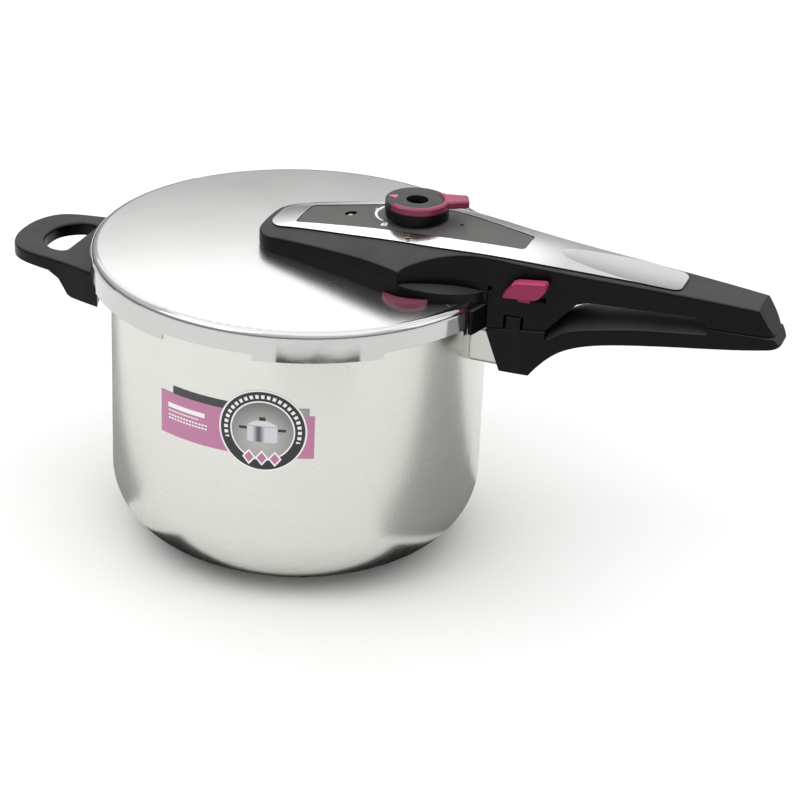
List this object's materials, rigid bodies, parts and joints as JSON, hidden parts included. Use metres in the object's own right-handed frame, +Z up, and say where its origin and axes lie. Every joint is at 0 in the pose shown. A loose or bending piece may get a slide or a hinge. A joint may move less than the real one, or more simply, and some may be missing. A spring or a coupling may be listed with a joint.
{
  "type": "stovetop pressure cooker",
  "caption": "Stovetop pressure cooker with a bayonet lid, long handle, helper handle, regulator knob, pressure indicator and lock button.",
  "frame": {"origin": "on the pot's axis at the underside of the base, where the cooker rests", "axes": "+X along the long handle, +Y to the left of the handle seen from the pot, +Z up"},
  "size_m": [0.47, 0.2458, 0.2222],
  "materials": {
    "satin_steel": "satin, brushed round the pot",
    "lid_steel": "satin dome with a polished rim",
    "base_steel": "satin",
    "heat_disc": "raw, sealed in",
    "bracket_steel": "pressed sheet",
    "screw_steel": "bright",
    "spring_steel": "drawn wire",
    "valve_steel": "turned",
    "bright_trim": "polished",
    "grey_inlay": "fine matt grain",
    "black_phenolic": "semi-matt moulded phenolic",
    "black_knob": "semi-matt",
    "plum_plastic": "satin moulded",
    "latch_plastic": "moulded",
    "plum_silicone": "soft matt",
    "black_rubber": "matt",
    "rivet_brass": "dull",
    "label_film": "printed film"
  },
  "bodies": {
    "pot": {"pot_shell": "satin_steel", "base_cover": "base_steel", "base_heat_disc": "heat_disc", "long_handle_bracket": "bracket_steel", "long_handle_guard": "satin_steel", "lower_long_handle": "black_phenolic", "long_handle_screw": "screw_steel", "helper_bracket": "bracket_steel", "helper_guard": "satin_steel", "helper_handle": "black_phenolic", "helper_screw": "screw_steel", "front_label": "label_film"},
    "lid": {"lid_shell": "lid_steel", "lid_gasket": "plum_silicone", "lid_bracket": "bracket_steel", "lid_handle_base": "black_phenolic", "lid_handle_top": "black_phenolic", "lid_handle_screws": "screw_steel", "handle_trim": "bright_trim", "handle_inlay": "grey_inlay", "trim_rivet": "rivet_brass", "lock_housing": "black_phenolic", "latch_spring": "spring_steel", "valve_body": "valve_steel", "valve_gasket": "plum_silicone", "valve_nut": "valve_steel", "anti_clog_cap": "valve_steel", "valve_retainer": "valve_steel", "poppet_spring": "spring_steel", "indicator_bush": "plum_silicone", "safety_plug": "plum_silicone"},
    "knob": {"knob_base": "black_knob", "knob_lever_ring": "plum_plastic", "knob_cap": "black_knob"},
    "poppet": {"valve_poppet": "valve_steel"},
    "indicator": {"indicator_pin": "valve_steel", "indicator_seal": "black_rubber"},
    "latch": {"lock_button": "plum_plastic", "latch_bolt": "latch_plastic"}
  },
  "joints": [
    {"name": "lid_turn", "type": "hinge", "parent": "pot", "child": "lid", "pos_m": [0, 0, 0.17], "axis": [0, 0, 1], "range_deg": [0, 30]},
    {"name": "knob_turn", "type": "hinge", "parent": "lid", "child": "knob", "pos_m": [0.07, 0, 0.214], "axis": [0, 0, 1], "range_deg": [0, 70]},
    {"name": "poppet_lift", "type": "slide", "parent": "lid", "child": "poppet", "axis": [0, 0, 1], "range_m": [0, 0.0025], "stiffness_N_per_m": 400, "springref_m": -0.002, "deforming": ["poppet_spring"]},
    {"name": "indicator_rise", "type": "slide", "parent": "lid", "child": "indicator", "axis": [0, 0, 1], "range_m": [0, 0.005]},
    {"name": "button_slide", "type": "slide", "parent": "lid", "child": "latch", "axis": [1, 0, 0], "range_m": [0, 0.008], "stiffness_N_per_m": 300, "springref_m": -0.01, "deforming": ["latch_spring"]}
  ]
}
